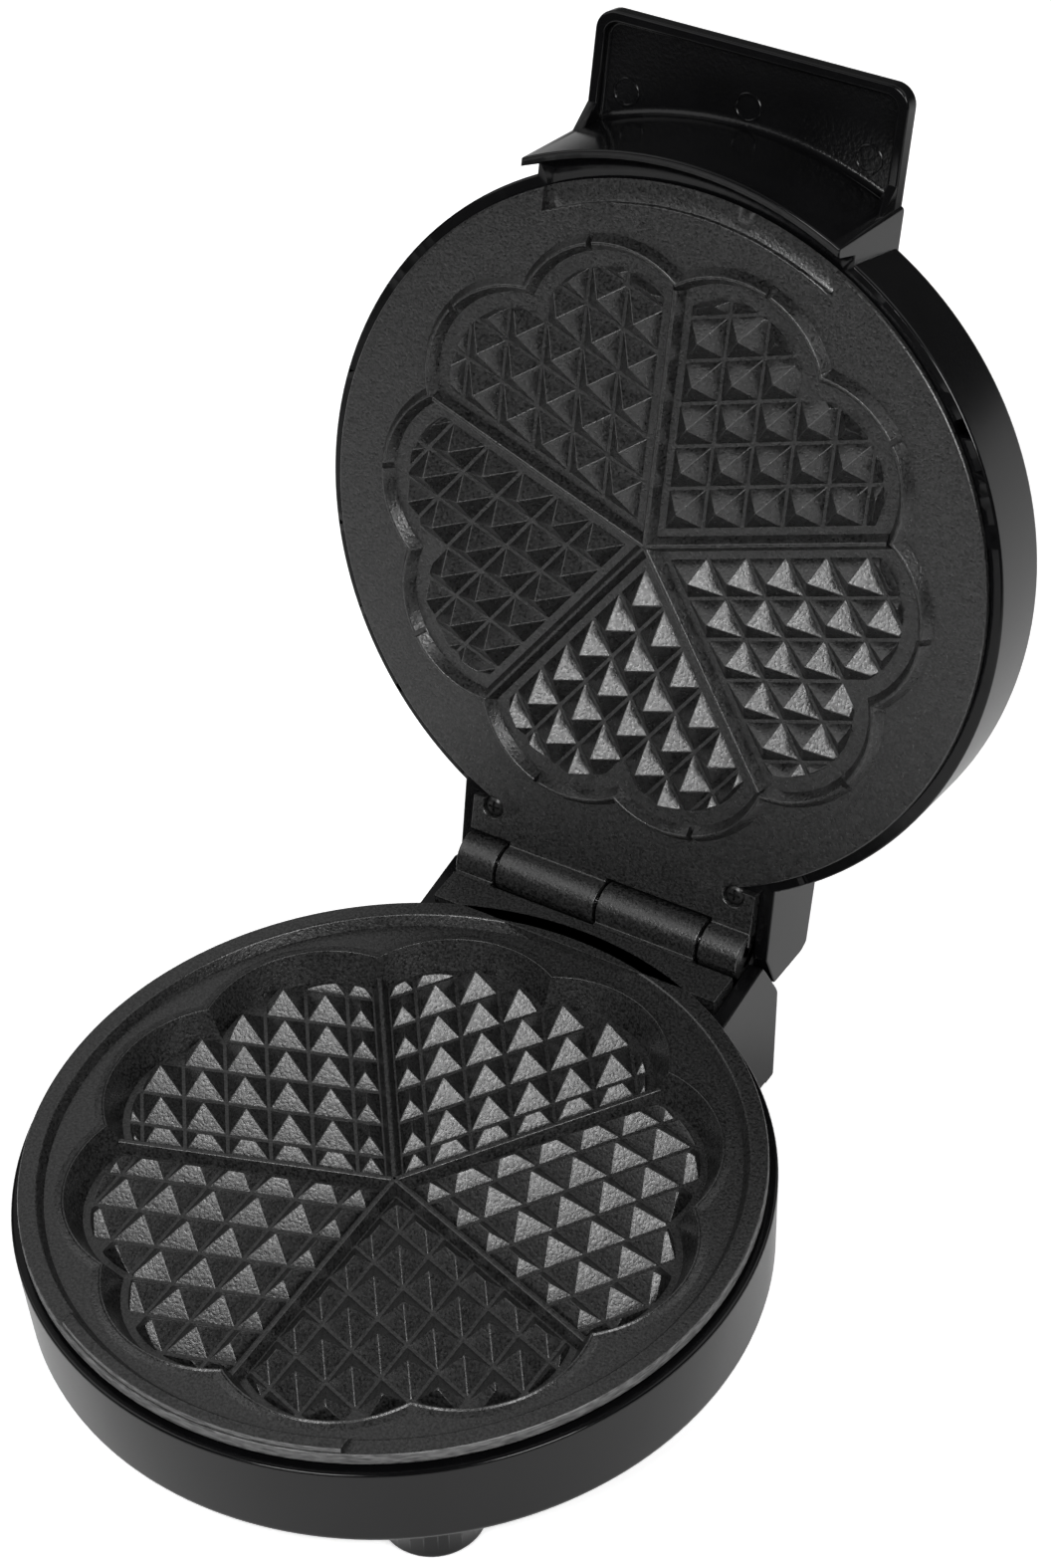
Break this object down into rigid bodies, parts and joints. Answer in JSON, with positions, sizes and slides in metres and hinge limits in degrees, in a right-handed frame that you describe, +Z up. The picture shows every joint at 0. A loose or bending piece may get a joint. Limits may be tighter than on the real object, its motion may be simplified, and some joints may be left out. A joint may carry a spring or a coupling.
{
  "type": "waffle maker",
  "caption": "Round electric waffle maker with hinged lid, standing open: coated plates with a flower of heart-shaped waffles, glossy black shells, tray handle on the lid.",
  "frame": {"origin": "on the table, under the middle of the room that the open waffle maker takes", "axes": "+Z up, +Y from the baking plate towards the hinge, +X to the right seen from the front"},
  "size_m": [0.2142, 0.3226, 0.2863],
  "materials": {
    "shell_black": "glossy black moulded plastic",
    "plate_coating": "dark grey speckled non-stick coating, satin",
    "steel": "bright zinc",
    "screw_black": "blackened steel",
    "heater_sheath": "dull grey sheath",
    "sheet": "plain sheet",
    "phenolic": "brown phenolic",
    "fuse_body": "cream",
    "terminal_white": "off-white",
    "rubber_black": "matte",
    "board": "plain",
    "lamp_glass": "clear neon bulb",
    "lens_red": "translucent red",
    "lens_green": "translucent green"
  },
  "bodies": {
    "base": {"base_shell": "shell_black", "lower_plate": "plate_coating", "lower_plate_screw_1": "steel", "lower_plate_screw_2": "steel", "lower_plate_screw_3": "steel", "lower_plate_screw_4": "steel", "lower_heater": "heater_sheath", "lower_heat_shield": "sheet", "lower_shield_screw_1": "steel", "lower_shield_screw_2": "steel", "lower_shield_screw_3": "steel", "thermostat": "phenolic", "thermal_fuse": "fuse_body", "fuse_clip": "sheet", "terminal_block": "terminal_white", "cord_gland": "rubber_black", "cord_clamp": "shell_black", "cord_clamp_screw_1": "steel", "cord_clamp_screw_2": "steel", "foot_pad_left": "rubber_black", "foot_pad_right": "rubber_black", "hinge_pin": "steel"},
    "lid": {"lid_shell": "shell_black", "upper_tab_screw_1": "screw_black", "upper_tab_screw_2": "screw_black", "lamp_board": "board", "power_lamp": "lamp_glass", "ready_lamp": "lamp_glass", "power_lens": "lens_red", "ready_lens": "lens_green", "upper_plate": "plate_coating", "upper_heater": "heater_sheath", "upper_heat_shield": "sheet", "upper_shield_screw_1": "steel", "upper_shield_screw_2": "steel", "upper_shield_screw_3": "steel"}
  },
  "joints": [
    {"name": "lid_hinge", "type": "hinge", "parent": "base", "child": "lid", "pos_m": [0, 0.05986, 0.0505], "axis": [1, 0, 0], "range_deg": [0, 106.7]}
  ]
}
